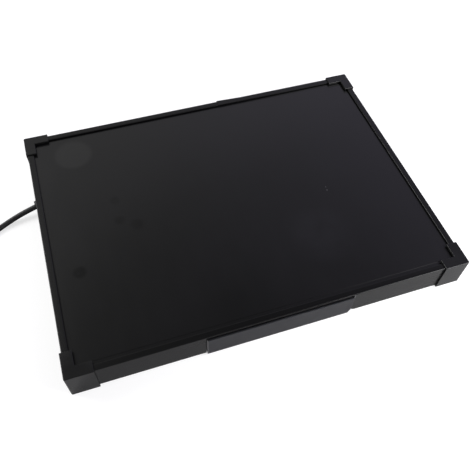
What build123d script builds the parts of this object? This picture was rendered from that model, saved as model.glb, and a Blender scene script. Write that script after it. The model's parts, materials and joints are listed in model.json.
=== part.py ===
"""Seedling heat mat: a rigid heated panel in a black frame with corner caps and a mains lead.

Frame: origin under the middle of the capped frame, on the surface that it stands on.
+X runs along the long side to the right, +Y to the rear, +Z up. Millimetres.
"""
import math
import os

from build123d import *

os.makedirs("parts", exist_ok=True)

# ---- driving dimensions -------------------------------------------------------------------
LENGTH = 500.0  # over the corner caps, along X
DEPTH = 372.0  # over the corner caps, along Y
HEIGHT = 44.0  # feet to the top of the caps

CAP_PROUD = 2.0  # the caps stand this far outside the rails
CAP_RISE = 1.9  # and this far above them
CAP_WALL = 1.9
CAP_ARM = 33.0  # length of each arm of a cap
CAP_LIP = 14.0  # width of a cap's top
CAP_BASE = 16.0  # width of a cap's underside
CAP_CORNER = 2.0  # radius of a cap's upright corner
CAP_EDGE = 0.7  # radius of a cap's other outer edges

RAIL_LOW = 2.8  # underside of the rails
RAIL_WALL = 2.0
RAIL_LIP = 8.0  # width of the rails' top lip
RAIL_LIP_THICK = 1.6
RAIL_FLANGE = 12.0  # width of the rails' bottom flange
RAIL_FLANGE_THICK = 2.0
RAIL_EDGE = 0.9  # radius of the rails' outer edges
RAIL_SHORT = 13.0  # each rail stops this far from the corner, inside the cap

NOTCH_LEFT = -90.6  # the front rail's skirt is cut away between these two
NOTCH_RIGHT = 94.6
NOTCH_ROUND = 8.0  # radius of the rail's lower corner at the right end of the notch

STRIP_LEFT = -90.0
STRIP_RIGHT = 94.0
STRIP_LOW = 2.4
STRIP_HIGH = 36.6
STRIP_THICK = 1.2
STRIP_FACE = 1.8  # thickness of its face
STRIP_CORNER = 0.4  # radius of its upper corners and of its upper front edge
STRIP_CUT_X = 3.0  # cut-off lower corner at the right end
STRIP_CUT_Z = 8.5

REAR_JOINT = 36.0  # where the two rear rails meet
FLARE_LENGTH = 37.0
FLARE_OUT = 2.0

TRAY_GAP = 0.5  # clearance between the tray and the rails
TRAY_SHEET = 1.0
TRAY_ROUND = 4.0

PLATE_TOP = 39.6
PLATE_SHEET = 1.5
PLATE_STEP = 0.4  # the heated field is pressed this far above the plate's border
CABLE_THICK = 1.5
CABLE_WIDTH = 3.0
CABLE_RUNS = 14
FOIL_THICK = 0.3

CORD_D = 7.0
CORD_Y = 87.3  # where the cord leaves the left rail
CORD_Z = 12.5
PIN_SHAFT = 1.45  # radius of the M3 screws' shafts
PIN_HOLE = 1.5

# ---- sizes that follow from them -----------------------------------------------------------
HALF_X = LENGTH / 2
HALF_Y = DEPTH / 2
RAIL_X = HALF_X - CAP_PROUD  # outer faces of the rails
RAIL_Y = HALF_Y - CAP_PROUD
RAIL_TOP = HEIGHT - CAP_RISE
LIP_UNDER = RAIL_TOP - RAIL_LIP_THICK
FLANGE_TOP = RAIL_LOW + RAIL_FLANGE_THICK
TRAY_X = RAIL_X - RAIL_WALL - TRAY_GAP
TRAY_Y = RAIL_Y - RAIL_WALL - TRAY_GAP
TRAY_FLOOR = FLANGE_TOP + TRAY_SHEET
BORDER_TOP = PLATE_TOP - PLATE_STEP
PLATE_UNDER = BORDER_TOP - PLATE_SHEET
FIELD_X = HALF_X - CAP_LIP - 1.0
FIELD_Y = HALF_Y - CAP_LIP - 1.0
FOIL_TOP = PLATE_UNDER - CABLE_THICK
BOARD_TOP = FOIL_TOP - FOIL_THICK
CORD_R = CORD_D / 2

SIDES = {  # side: direction from the outer face inwards
    "front": Vector(0, 1, 0),
    "rear": Vector(0, -1, 0),
    "left": Vector(1, 0, 0),
    "right": Vector(-1, 0, 0),
}
CORNERS = {
    "front_left": (-1, -1),
    "front_right": (1, -1),
    "rear_left": (-1, 1),
    "rear_right": (1, 1),
}


def finish(builder, name):
    """Labels a finished sub-part and writes it out."""
    builder.part.label = name
    export_step(builder.part, f"parts/{name}.step")


def rail_blank(side, start, length):
    """A C-shaped rail, open inwards, that runs along the frame from the point start."""
    inward = SIDES[side]
    along = inward.cross(Vector(0, 0, 1))
    with BuildPart() as rail:
        with BuildSketch(Plane(origin=start, x_dir=inward, z_dir=along)) as section:
            with BuildLine():
                Polyline(
                    (0, RAIL_LOW),
                    (RAIL_FLANGE, RAIL_LOW),
                    (RAIL_FLANGE, FLANGE_TOP),
                    (RAIL_WALL, FLANGE_TOP),
                    (RAIL_WALL, LIP_UNDER),
                    (RAIL_LIP, LIP_UNDER),
                    (RAIL_LIP, RAIL_TOP),
                    (0, RAIL_TOP),
                    close=True,
                )
            make_face()
            fillet(section.vertices().group_by(Axis.Y)[-1], RAIL_EDGE)
        extrude(amount=length)
    return rail


# ---- rails ---------------------------------------------------------------------------------
TRAY_SCREWS_X = [-200.0, -110.0, 110.0, 200.0]  # along the long rails
TRAY_SCREWS_Y = [-110.0, 0.0, 110.0]  # along the short rails
FLANGE_MID = 7.0  # screw line, in from the rails' outer faces
LONG_SCREWS = [(x, s * (RAIL_Y - FLANGE_MID)) for x in TRAY_SCREWS_X for s in (-1, 1)]
SHORT_SCREWS = [(s * (RAIL_X - FLANGE_MID), y) for y in TRAY_SCREWS_Y for s in (-1, 1)]
CAP_SCREW_IN = 26.0  # cap screws, in from the caps' outer corner along each arm
CAP_SCREWS = [
    point
    for sx, sy in CORNERS.values()
    for point in (
        (sx * (HALF_X - CAP_SCREW_IN), sy * (RAIL_Y - FLANGE_MID)),
        (sx * (RAIL_X - FLANGE_MID), sy * (HALF_Y - CAP_SCREW_IN)),
    )
]
STRIP_SCREWS = [(x, -RAIL_Y + FLANGE_MID) for x in (-70.0, 2.0, 74.0)]
BASE_HOLES = LONG_SCREWS + SHORT_SCREWS + CAP_SCREWS + STRIP_SCREWS


def drill_base(points):
    """Screw holes through whatever lies between the underside and the tray's floor."""
    with BuildSketch(Plane.XY) as holes:
        with Locations(*points):
            Circle(PIN_HOLE)
    extrude(holes.sketch, amount=TRAY_FLOOR + 1.0, mode=Mode.SUBTRACT)


long_start = RAIL_X - RAIL_SHORT
short_start = RAIL_Y - RAIL_SHORT

front_blank = rail_blank("front", (-long_start, -RAIL_Y, 0), 2 * long_start)
with BuildPart() as front_rail:
    add(front_blank.part)
    with BuildSketch(Plane.XZ.offset(RAIL_Y + 1)):
        with Locations(((NOTCH_LEFT + NOTCH_RIGHT) / 2, LIP_UNDER / 2)):
            Rectangle(NOTCH_RIGHT - NOTCH_LEFT, LIP_UNDER)
        with Locations((NOTCH_RIGHT + NOTCH_ROUND / 2, RAIL_LOW + NOTCH_ROUND / 2)):
            Rectangle(NOTCH_ROUND, NOTCH_ROUND)
        with Locations((NOTCH_RIGHT + NOTCH_ROUND, RAIL_LOW + NOTCH_ROUND)):
            Circle(NOTCH_ROUND, mode=Mode.SUBTRACT)
    extrude(amount=-(RAIL_FLANGE + 2), mode=Mode.SUBTRACT)
    drill_base(LONG_SCREWS + CAP_SCREWS)
finish(front_rail, "front_rail")

rear_left_blank = rail_blank("rear", (REAR_JOINT - 0.3, RAIL_Y, 0), REAR_JOINT - 0.3 + long_start)
with BuildPart() as rear_rail_left:
    add(rear_left_blank.part)
    drill_base(LONG_SCREWS + CAP_SCREWS)
finish(rear_rail_left, "rear_rail_left")


def flared_plan(depth):
    """Plan of the right rear rail from its outer face in to a depth, with its left end flared out."""
    with BuildLine() as plan:
        Polyline(
            (REAR_JOINT, RAIL_Y + FLARE_OUT),
            (REAR_JOINT + FLARE_LENGTH, RAIL_Y),
            (long_start, RAIL_Y),
            (long_start, RAIL_Y - depth),
            (REAR_JOINT + FLARE_LENGTH, RAIL_Y - depth),
            (REAR_JOINT, RAIL_Y - depth + (FLARE_OUT if depth == RAIL_WALL else 0)),
            close=True,
        )
    make_face(plan.edges())


with BuildPart() as rear_rail_right:
    with BuildSketch(Plane.XY.offset(RAIL_LOW)):
        flared_plan(RAIL_WALL)
    extrude(amount=RAIL_TOP - RAIL_LOW)
    with BuildSketch(Plane.XY.offset(RAIL_LOW)):
        flared_plan(RAIL_FLANGE)
    extrude(amount=RAIL_FLANGE_THICK)
    with BuildSketch(Plane.XY.offset(LIP_UNDER)):
        flared_plan(RAIL_LIP)
    extrude(amount=RAIL_LIP_THICK)
    top_edges = rear_rail_right.edges().group_by(Axis.Z)[-1]
    outer_edges = top_edges.filter_by(lambda e: e.center().Y > RAIL_Y - 0.5 and e.length > FLARE_LENGTH / 2)
    fillet(outer_edges, RAIL_EDGE)
    drill_base(LONG_SCREWS + CAP_SCREWS)
finish(rear_rail_right, "rear_rail_right")

RELIEF_NECK = 5.5  # radius of the strain relief where it passes the rail and tray
left_blank = rail_blank("left", (-RAIL_X, short_start, 0), 2 * short_start)
with BuildPart() as left_rail:
    add(left_blank.part)
    with BuildSketch(Plane.YZ.offset(-RAIL_X - 1)):
        with Locations((CORD_Y, CORD_Z)):
            Circle(RELIEF_NECK + 0.1)
    extrude(amount=RAIL_WALL + 2, mode=Mode.SUBTRACT)
    drill_base(SHORT_SCREWS + CAP_SCREWS)
finish(left_rail, "left_rail")

right_blank = rail_blank("right", (RAIL_X, -short_start, 0), 2 * short_start)
with BuildPart() as right_rail:
    add(right_blank.part)
    drill_base(SHORT_SCREWS + CAP_SCREWS)
finish(right_rail, "right_rail")

# ---- front strip: an angle that closes the notch in the front rail --------------------------
STRIP_FACE_Y = -HALF_Y  # flush with the caps
with BuildPart() as front_strip:
    with BuildSketch(Plane.XZ.offset(-STRIP_FACE_Y - STRIP_FACE)) as face_plan:
        with BuildLine():
            Polyline(
                (STRIP_LEFT, STRIP_LOW),
                (STRIP_RIGHT - STRIP_CUT_X, STRIP_LOW),
                (STRIP_RIGHT, STRIP_LOW + STRIP_CUT_Z),
                (STRIP_RIGHT, STRIP_HIGH),
                (STRIP_LEFT, STRIP_HIGH),
                close=True,
            )
        make_face()
        fillet(face_plan.vertices().group_by(Axis.Y)[-1], STRIP_CORNER)
    extrude(amount=STRIP_FACE)
    upper_edges = front_strip.edges().filter_by(Axis.X).group_by(Axis.Z)[-1]
    fillet(upper_edges.sort_by(Axis.Y)[0], STRIP_CORNER)
    with BuildSketch(Plane.XY.offset(FLANGE_TOP - STRIP_THICK)):
        with Locations(((STRIP_LEFT + STRIP_RIGHT - STRIP_CUT_X) / 2, STRIP_FACE_Y + RAIL_FLANGE / 2)):
            Rectangle(STRIP_RIGHT - STRIP_CUT_X - STRIP_LEFT, RAIL_FLANGE)
    extrude(amount=STRIP_THICK)
    drill_base(STRIP_SCREWS)
finish(front_strip, "front_strip")

# ---- corner caps ---------------------------------------------------------------------------
FOOT_R = 5.0
FOOT_STANDS = 0.5  # a foot pad stands this far below its cap
FOOT_THICK = 1.5
FOOT_IN = 7.5  # pad centres, in from the caps' outer faces
FIT = 0.1  # clearance between the caps and what they cover
SCREW_HEAD_R = 2.8
SCREW_HEAD_DEEP = 1.2


def corner_cap(sx, sy):
    """An L-shaped sleeve over two rail ends; sx and sy say which corner."""

    def spot(u, v):
        """A point u and v in from the two outer faces."""
        return (sx * (HALF_X - u), sy * (HALF_Y - v))

    def ell(start, stop):
        """An L-shaped band of both arms, from start to stop in from the outer faces."""
        with BuildLine() as band:
            Polyline(
                spot(start, start),
                spot(CAP_ARM, start),
                spot(CAP_ARM, stop),
                spot(stop, stop),
                spot(stop, CAP_ARM),
                spot(start, CAP_ARM),
                close=True,
            )
        make_face(band.edges())

    with BuildPart() as cap:
        with BuildSketch(Plane.XY.offset(FOOT_STANDS)):
            ell(0, CAP_BASE)
        extrude(amount=RAIL_LOW - FIT - FOOT_STANDS)
        with BuildSketch(Plane.XY.offset(FOOT_STANDS)):
            ell(0, CAP_WALL)
        extrude(amount=HEIGHT - FOOT_STANDS)
        with BuildSketch(Plane.XY.offset(RAIL_TOP + FIT)):
            ell(0, CAP_LIP)
        extrude(amount=CAP_RISE - FIT)
        with BuildSketch(Plane.XY.offset(LIP_UNDER + FIT)):
            ell(CAP_PROUD + RAIL_LIP + FIT, CAP_LIP)
        extrude(amount=CAP_RISE + RAIL_LIP_THICK - FIT)
        corner_edge = cap.edges().filter_by(Axis.Z).filter_by(
            lambda e: abs(abs(e.center().X) - HALF_X) < 0.01 and abs(abs(e.center().Y) - HALF_Y) < 0.01
        )
        fillet(corner_edge, CAP_CORNER)
        rim = cap.faces().sort_by(Axis.Z)[-1].outer_wire().edges()
        fillet(rim, CAP_EDGE)
        with BuildSketch(Plane.XY.offset(FOOT_STANDS)):
            with Locations(spot(FOOT_IN, FOOT_IN)):
                Circle(FOOT_R + FIT)
        extrude(amount=FOOT_THICK - FOOT_STANDS, mode=Mode.SUBTRACT)
        drill_base(CAP_SCREWS)
        with BuildSketch(Plane.XY.offset(FOOT_STANDS)):
            with Locations(*CAP_SCREWS):
                Circle(SCREW_HEAD_R + FIT)
        extrude(amount=SCREW_HEAD_DEEP, mode=Mode.SUBTRACT)
    return cap


for corner, (sx, sy) in CORNERS.items():
    finish(corner_cap(sx, sy), f"corner_cap_{corner}")

FOOT_CENTRES = [(sx * (HALF_X - FOOT_IN), sy * (HALF_Y - FOOT_IN)) for sx, sy in CORNERS.values()]
with BuildPart() as foot_pads:
    with BuildSketch(Plane.XY):
        with Locations(*FOOT_CENTRES):
            Circle(FOOT_R)
    extrude(amount=FOOT_THICK)
finish(foot_pads, "foot_pads")


def base_screws(points, head_low, length):
    """Pan-head screws, one at each point, driven up into the tray from head_low."""
    with BuildPart() as screws:
        with BuildSketch(Plane.XY.offset(head_low)):
            with Locations(*points):
                Circle(SCREW_HEAD_R)
        extrude(amount=SCREW_HEAD_DEEP)
        with BuildSketch(Plane.XY.offset(head_low)):
            with Locations(*points):
                Circle(PIN_SHAFT)
        extrude(amount=length)
        with BuildSketch(Plane.XY.offset(head_low)):
            with Locations(*points):
                Rectangle(3.0, 0.7)
                Rectangle(0.7, 3.0)
        extrude(amount=0.7, mode=Mode.SUBTRACT)
    return screws


finish(base_screws(CAP_SCREWS, FOOT_STANDS, 8.0), "cap_screws")
finish(base_screws(LONG_SCREWS + SHORT_SCREWS, RAIL_LOW - SCREW_HEAD_DEEP, 7.0), "tray_screws")
finish(base_screws(STRIP_SCREWS, FLANGE_TOP - STRIP_THICK - SCREW_HEAD_DEEP, 6.0), "strip_screws")

# ---- tray, plate and the layers between them -------------------------------------------------
with BuildPart() as base_tray:
    with BuildSketch(Plane.XY.offset(FLANGE_TOP)):
        RectangleRounded(2 * TRAY_X, 2 * TRAY_Y, TRAY_ROUND)
    extrude(amount=PLATE_UNDER - FLANGE_TOP)
    with BuildSketch(Plane.XY.offset(TRAY_FLOOR)):
        RectangleRounded(2 * (TRAY_X - TRAY_SHEET), 2 * (TRAY_Y - TRAY_SHEET), TRAY_ROUND - TRAY_SHEET)
    extrude(amount=PLATE_UNDER - TRAY_FLOOR, mode=Mode.SUBTRACT)
    with BuildSketch(Plane.YZ.offset(-TRAY_X - 1)):
        with Locations((CORD_Y, CORD_Z)):
            Circle(RELIEF_NECK + 0.1)
    extrude(amount=TRAY_SHEET + 2, mode=Mode.SUBTRACT)
    drill_base(BASE_HOLES)
finish(base_tray, "base_tray")

with BuildPart() as top_plate:
    with BuildSketch(Plane.XY.offset(PLATE_UNDER)):
        RectangleRounded(2 * TRAY_X, 2 * TRAY_Y, TRAY_ROUND)
    extrude(amount=PLATE_SHEET)
    with BuildSketch(Plane.XY.offset(BORDER_TOP)):
        RectangleRounded(2 * FIELD_X, 2 * FIELD_Y, TRAY_ROUND)
    extrude(amount=PLATE_STEP)
finish(top_plate, "top_plate")

GASKET_WIDTH = 4.0
with BuildPart() as plate_gasket:
    with BuildSketch(Plane.XY.offset(BORDER_TOP)):
        RectangleRounded(2 * TRAY_X, 2 * TRAY_Y, TRAY_ROUND)
        inner_x, inner_y = TRAY_X - GASKET_WIDTH, TRAY_Y - GASKET_WIDTH
        RectangleRounded(2 * inner_x, 2 * inner_y, TRAY_ROUND / 2, mode=Mode.SUBTRACT)
    extrude(amount=LIP_UNDER - BORDER_TOP)
finish(plate_gasket, "plate_gasket")

LAYER_GAP = 2.0  # the layers stop short of the tray's walls
LAYER_X = TRAY_X - TRAY_SHEET - LAYER_GAP
LAYER_Y = TRAY_Y - TRAY_SHEET - LAYER_GAP

# the heating cable lies in level rows and both of its ends come out over the wiring pocket
CABLE_MARGIN = 22.0
row_step = 2 * (LAYER_Y - CABLE_MARGIN) / (CABLE_RUNS - 1)
row_y = [-LAYER_Y + CABLE_MARGIN + row * row_step for row in range(CABLE_RUNS)]
row_right = LAYER_X - CABLE_MARGIN
row_left = -LAYER_X + CABLE_MARGIN + row_step
cable_points = []
for row, y in enumerate(row_y):
    ends = (row_left, row_right) if row % 2 == 0 else (row_right, row_left)
    cable_points += [(ends[0], y), (ends[1], y)]
return_x = -LAYER_X + CABLE_MARGIN - row_step / 4
cable_start = (return_x, CORD_Y - row_step)
cable_end = (return_x, CORD_Y + row_step)
cable_points = [cable_start, (return_x, row_y[0]), *cable_points[1:-1], (return_x, row_y[-1]), cable_end]
with BuildPart() as heating_cable:
    with BuildSketch(Plane.XY.offset(FOIL_TOP)):
        with BuildLine() as cable_route:
            FilletPolyline(*cable_points, radius=row_step / 2 - 0.2)
        trace(line_width=CABLE_WIDTH)
    extrude(amount=CABLE_THICK)
finish(heating_cable, "heating_cable")

POCKET_X0, POCKET_X1 = -LAYER_X, -112.0  # wiring pocket in the insulation board
POCKET_Y0, POCKET_Y1 = 42.0, 128.0
FOIL_MARGIN = 8.0  # the foil is cut away over the pocket, less this margin

with BuildPart() as spreader_foil:
    with BuildSketch(Plane.XY.offset(BOARD_TOP)):
        Rectangle(2 * LAYER_X, 2 * LAYER_Y)
        with Locations(((POCKET_X0 + POCKET_X1) / 2, (POCKET_Y0 + POCKET_Y1) / 2)):
            cut_x = POCKET_X1 - POCKET_X0 - 2 * FOIL_MARGIN
            cut_y = POCKET_Y1 - POCKET_Y0 - 2 * FOIL_MARGIN
            Rectangle(cut_x, cut_y, mode=Mode.SUBTRACT)
    extrude(amount=FOIL_THICK)
finish(spreader_foil, "spreader_foil")

TIP_ROOM = 3.0  # radius of the room that the board leaves round each screw's tip
with BuildPart() as insulation_board:
    with BuildSketch(Plane.XY.offset(TRAY_FLOOR)):
        Rectangle(2 * LAYER_X, 2 * LAYER_Y)
        with Locations(((POCKET_X0 + POCKET_X1) / 2, (POCKET_Y0 + POCKET_Y1) / 2)):
            Rectangle(POCKET_X1 - POCKET_X0 + 0.01, POCKET_Y1 - POCKET_Y0, mode=Mode.SUBTRACT)
    extrude(amount=BOARD_TOP - TRAY_FLOOR)
    with BuildSketch(Plane.XY.offset(TRAY_FLOOR)):
        with Locations(*BASE_HOLES):
            Circle(TIP_ROOM)
    extrude(amount=2 * TIP_ROOM, mode=Mode.SUBTRACT)
finish(insulation_board, "insulation_board")

# ---- strain relief and the end of the cord inside it -----------------------------------------
COLLAR_R = 7.5
COLLAR_LONG = 4.0  # outside the rail, along the lead
NOSE_R = 4.3
RELIEF_OUT = 5.0  # where the lead comes out of the relief, along the lead
RELIEF_INNER_R = 6.6  # lip that traps the relief behind the tray's wall
RELIEF_IN = 12.0  # length inside the rail's outer face
RELIEF_WALL = 1.2  # its thinnest wall
WALLS = RAIL_WALL + TRAY_GAP + TRAY_SHEET
LEAD_WAY = Vector(-0.9686, -0.1643, -0.1863)  # the lead leaves a little down and to the front
INNER_END_X = -219.0
wall_spot = Vector(-RAIL_X, CORD_Y, CORD_Z)
exit_spot = wall_spot + RELIEF_OUT * LEAD_WAY
INNER_BEND = 12.0  # radius of the lead's bend inside the relief

with BuildPart() as cord_inner_end:
    with BuildLine():
        inner_route = FilletPolyline((INNER_END_X, CORD_Y, CORD_Z), wall_spot, exit_spot, radius=INNER_BEND)
    with BuildSketch(Plane(origin=inner_route @ 0, z_dir=inner_route % 0)):
        Circle(CORD_R)
    sweep()
finish(cord_inner_end, "cord_inner_end")

with BuildPart() as strain_relief:
    for back, out, radius in ((COLLAR_LONG, COLLAR_LONG, COLLAR_R), (0, RELIEF_OUT, NOSE_R)):
        with BuildSketch(Plane(origin=wall_spot - back * LEAD_WAY, z_dir=LEAD_WAY)):
            Circle(radius)
        extrude(amount=back + out)
    split(bisect_by=Plane(origin=wall_spot, z_dir=(-1, 0, 0)))
    with BuildSketch(Plane(origin=wall_spot, x_dir=(1, 0, 0), z_dir=(0, -1, 0))):
        with BuildLine():
            Polyline(
                (0, 0),
                (0, RELIEF_NECK),
                (WALLS, RELIEF_NECK),
                (WALLS, RELIEF_INNER_R),
                (WALLS + 3.0, RELIEF_INNER_R),
                (RELIEF_IN, CORD_R + RELIEF_WALL),
                (RELIEF_IN, 0),
                close=True,
            )
        make_face()
    revolve(axis=Axis(wall_spot, (1, 0, 0)))
    add(cord_inner_end.part, mode=Mode.SUBTRACT)
finish(strain_relief, "strain_relief")

CLAMP_X0, CLAMP_X1 = -235.0, -225.0
CLAMP_HALF = 10.5
CLAMP_TOP = 18.5
CLAMP_SCREW_OUT = 7.0  # its screws, each from the cord's centreline
CLAMP_SCREWS = [((CLAMP_X0 + CLAMP_X1) / 2, CORD_Y + s * CLAMP_SCREW_OUT) for s in (-1, 1)]


def clamp_half(low, high):
    """One half of the block that grips the cord, bored for the cord and its two screws."""
    with BuildPart() as half:
        with BuildSketch(Plane.XY.offset(low)) as block:
            with Locations(((CLAMP_X0 + CLAMP_X1) / 2, CORD_Y)):
                RectangleRounded(CLAMP_X1 - CLAMP_X0, 2 * CLAMP_HALF, 1.5)
            with Locations(*CLAMP_SCREWS):
                Circle(PIN_HOLE, mode=Mode.SUBTRACT)
        extrude(amount=high - low)
        with BuildSketch(Plane.YZ.offset(CLAMP_X0 - 1)):
            with Locations((CORD_Y, CORD_Z)):
                Circle(CORD_R)
        extrude(amount=CLAMP_X1 - CLAMP_X0 + 2, mode=Mode.SUBTRACT)
    return half


finish(clamp_half(TRAY_FLOOR, CORD_Z), "clamp_seat")
finish(clamp_half(CORD_Z, CLAMP_TOP), "clamp_bar")


def down_screws(points, seat, length, head=SCREW_HEAD_R, shaft=PIN_SHAFT):
    """Pan-head screws, one at each point, driven down with their heads on the level seat."""
    with BuildPart() as screws:
        with BuildSketch(Plane.XY.offset(seat)):
            with Locations(*points):
                Circle(head)
        extrude(amount=SCREW_HEAD_DEEP)
        with BuildSketch(Plane.XY.offset(seat)):
            with Locations(*points):
                Circle(shaft)
        extrude(amount=-length)
        with BuildSketch(Plane.XY.offset(seat + SCREW_HEAD_DEEP)):
            with Locations(*points):
                Rectangle(1.2 * head, 0.6)
        extrude(amount=-0.7, mode=Mode.SUBTRACT)
    return screws


finish(down_screws(CLAMP_SCREWS, CLAMP_TOP, CLAMP_TOP - TRAY_FLOOR), "clamp_screws")

# ---- wiring box --------------------------------------------------------------------------------
BOX_X0, BOX_X1 = -216.0, -146.0
BOX_Y0, BOX_Y1 = CORD_Y - 25.0, CORD_Y + 25.0
BOX_HIGH = 20.0
BOX_WALL = 2.0
BOX_TOP = TRAY_FLOOR + BOX_HIGH
BOX_MID = ((BOX_X0 + BOX_X1) / 2, (BOX_Y0 + BOX_Y1) / 2)
BOX_LONG, BOX_WIDE = BOX_X1 - BOX_X0, BOX_Y1 - BOX_Y0
BOSS_R = 3.2
BOX_SCREWS = [(BOX_X0 + 5.0, BOX_Y0 + 5.0), (BOX_X1 - 5.0, BOX_Y1 - 5.0)]

LEAD_R = 1.0
FINE_LEAD_R = 0.7
LEAD_HOLE = 1.3
WAY_PITCH = 10.0  # between the terminal block's ways
WAY_Y = [CORD_Y - WAY_PITCH, CORD_Y, CORD_Y + WAY_PITCH]  # live, neutral, earth
LEAD_Z = 13.5
BLOCK_X0, BLOCK_X1 = -190.0, -174.0
BLOCK_LOW = TRAY_FLOOR + BOX_WALL
BLOCK_HIGH = 12.0
UP_X = -154.0  # where the neutral lead goes up through the lid

with BuildPart() as wiring_box:
    with BuildSketch(Plane.XY.offset(TRAY_FLOOR)):
        with Locations(BOX_MID):
            RectangleRounded(BOX_LONG, BOX_WIDE, 3.0)
    extrude(amount=BOX_HIGH)
    with BuildSketch(Plane.XY.offset(BLOCK_LOW)):
        with Locations(BOX_MID):
            RectangleRounded(BOX_LONG - 2 * BOX_WALL, BOX_WIDE - 2 * BOX_WALL, 1.0)
    extrude(amount=BOX_HIGH - BOX_WALL, mode=Mode.SUBTRACT)
    with BuildSketch(Plane.XY.offset(BLOCK_LOW)):
        with Locations(*BOX_SCREWS):
            Circle(BOSS_R)
    extrude(amount=BOX_HIGH - BOX_WALL)
    with BuildSketch(Plane.XY.offset(BOX_TOP)):
        with Locations(*BOX_SCREWS):
            Circle(PIN_HOLE)
    extrude(amount=-12.0, mode=Mode.SUBTRACT)
    with BuildSketch(Plane.YZ.offset(BOX_X0 - 1)):
        with Locations((CORD_Y, CORD_Z)):
            Circle(CORD_R + 0.5)
    extrude(amount=BOX_WALL + 2, mode=Mode.SUBTRACT)
    with BuildSketch(Plane.YZ.offset(BOX_X1 + 1)):
        with Locations((WAY_Y[0], LEAD_Z), (WAY_Y[2], LEAD_Z)):
            Circle(LEAD_HOLE)
    extrude(amount=-(BOX_WALL + 2), mode=Mode.SUBTRACT)
finish(wiring_box, "wiring_box")

LID_TOP = BOX_TOP + BOX_WALL
with BuildPart() as wiring_box_lid:
    with BuildSketch(Plane.XY.offset(BOX_TOP)):
        with Locations(BOX_MID):
            RectangleRounded(BOX_LONG, BOX_WIDE, 3.0)
        with Locations(*BOX_SCREWS):
            Circle(PIN_HOLE, mode=Mode.SUBTRACT)
        with Locations((UP_X, WAY_Y[1])):
            Circle(LEAD_HOLE, mode=Mode.SUBTRACT)
    extrude(amount=BOX_WALL)
finish(wiring_box_lid, "wiring_box_lid")
finish(down_screws(BOX_SCREWS, LID_TOP, 10.0), "wiring_box_screws")

BARREL_R = 1.7  # the terminals' screw wells
BARREL_DEEP = 5.0
TERMINAL_SCREW_R = 1.6
TERMINAL_SCREW_LONG = 4.0
TERMINALS = [(x, y) for x in (BLOCK_X0 + 4.0, BLOCK_X1 - 4.0) for y in WAY_Y]
with BuildPart() as terminal_block:
    with BuildSketch(Plane.XY.offset(BLOCK_LOW)):
        with Locations(((BLOCK_X0 + BLOCK_X1) / 2, CORD_Y)):
            Rectangle(BLOCK_X1 - BLOCK_X0, 3 * WAY_PITCH)
        with Locations(*[((BLOCK_X0 + BLOCK_X1) / 2, y + WAY_PITCH / 2) for y in WAY_Y[:2]]):
            Rectangle(BLOCK_X1 - BLOCK_X0 - 8.0, 2.0, mode=Mode.SUBTRACT)
    extrude(amount=BLOCK_HIGH)
    with BuildSketch(Plane.XY.offset(BLOCK_LOW + BLOCK_HIGH)):
        with Locations(*TERMINALS):
            Circle(BARREL_R)
    extrude(amount=-BARREL_DEEP, mode=Mode.SUBTRACT)
finish(terminal_block, "terminal_block")

with BuildPart() as terminal_screws:
    well_floor = BLOCK_LOW + BLOCK_HIGH - BARREL_DEEP
    with BuildSketch(Plane.XY.offset(well_floor)):
        with Locations(*TERMINALS):
            Circle(TERMINAL_SCREW_R)
    extrude(amount=TERMINAL_SCREW_LONG)
    with BuildSketch(Plane.XY.offset(well_floor + TERMINAL_SCREW_LONG)):
        with Locations(*TERMINALS):
            Rectangle(2.6, 0.6)
    extrude(amount=-0.8, mode=Mode.SUBTRACT)
finish(terminal_screws, "terminal_screws")

# ---- thermal cut-out, its bracket and the thermal fuse --------------------------------------------
CUTOUT_X = -130.0
CUTOUT_Y = row_y[9] + row_step / 2  # between two rows of the heating cable
CUTOUT_R = 8.0
CUTOUT_LOW = PLATE_UNDER - 8.0
TAB_LOW = CUTOUT_LOW + 1.0
TAB_REACH = 3.5
with BuildPart() as thermal_cutout:
    with BuildSketch(Plane.XY.offset(CUTOUT_LOW)):
        with Locations((CUTOUT_X, CUTOUT_Y)):
            Circle(CUTOUT_R)
    extrude(amount=PLATE_UNDER - CUTOUT_LOW)
    with BuildSketch(Plane.XY.offset(TAB_LOW)):
        with Locations((CUTOUT_X, CUTOUT_Y)):
            Rectangle(5.0, 2 * (CUTOUT_R + TAB_REACH))
    extrude(amount=0.8)
finish(thermal_cutout, "thermal_cutout")

LEAF = 1.0
BRACKET_WIDE = 10.0
with BuildPart() as cutout_bracket:
    with BuildSketch(Plane.XZ.offset(-CUTOUT_Y - BRACKET_WIDE / 2)):
        with BuildLine():
            Polyline(
                (CUTOUT_X + 12.0, TRAY_FLOOR),
                (CUTOUT_X - 4.0, TRAY_FLOOR),
                (CUTOUT_X - 4.0, CUTOUT_LOW),
                (CUTOUT_X + 6.0, CUTOUT_LOW),
                (CUTOUT_X + 6.0, CUTOUT_LOW - LEAF),
                (CUTOUT_X - 4.0 + LEAF, CUTOUT_LOW - LEAF),
                (CUTOUT_X - 4.0 + LEAF, TRAY_FLOOR + LEAF),
                (CUTOUT_X + 12.0, TRAY_FLOOR + LEAF),
                close=True,
            )
        make_face()
    extrude(amount=BRACKET_WIDE)
finish(cutout_bracket, "cutout_bracket")

FUSE_R = 2.0
FUSE_Y = CORD_Y + 17.0
FUSE_X0, FUSE_X1 = -174.0, -162.0
FUSE_Z = LID_TOP + FUSE_R
with BuildPart() as thermal_fuse:
    with BuildSketch(Plane.YZ.offset(FUSE_X0)):
        with Locations((FUSE_Y, FUSE_Z)):
            Circle(FUSE_R)
    extrude(amount=FUSE_X1 - FUSE_X0)
    fillet(thermal_fuse.edges().filter_by(GeomType.CIRCLE), 0.6)
finish(thermal_fuse, "thermal_fuse")

# ---- leads: straight runs joined by arcs ------------------------------------------------------------
BEND = 3.0


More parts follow.
